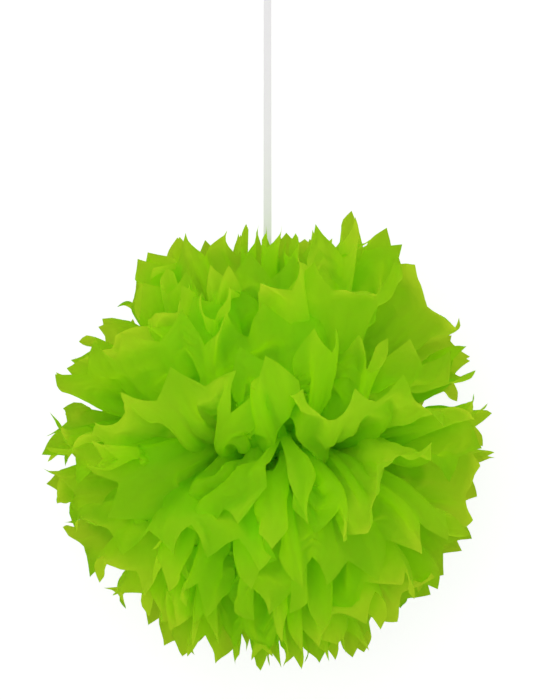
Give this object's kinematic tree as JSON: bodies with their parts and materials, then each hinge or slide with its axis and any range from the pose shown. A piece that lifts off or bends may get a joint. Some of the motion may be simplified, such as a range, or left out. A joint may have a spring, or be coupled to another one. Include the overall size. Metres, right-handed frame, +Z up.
{
  "type": "tissue paper pom pom",
  "caption": "Hanging ball of pleated tissue paper, bound with wire at its middle and fluffed into rings of pointed petals, on a flat ribbon that ends in a loop.",
  "frame": {"origin": "inside top of the ribbon's hanging loop, where a hook bears", "axes": "+Z up along the ribbon; +X to the right along the pleated strip, whose two ends are the left and right half fans; -Y towards the viewer of the picture"},
  "size_m": [0.4074, 0.3914, 0.6501],
  "materials": {
    "tissue": "lime green tissue paper, translucent and matt, with fine creases",
    "wire": "bare galvanised florist wire",
    "ribbon": "white woven ribbon with fine lengthwise ribs and a soft sheen"
  },
  "bodies": {
    "root": {"upper_sheet_1": "tissue", "upper_sheet_2": "tissue", "upper_sheet_3": "tissue", "upper_sheet_4": "tissue", "upper_sheet_5": "tissue", "lower_sheet_1": "tissue", "lower_sheet_2": "tissue", "lower_sheet_3": "tissue", "lower_sheet_4": "tissue", "lower_sheet_5": "tissue", "waist_wire": "wire", "hanging_ribbon": "ribbon"}
  },
  "joints": []
}
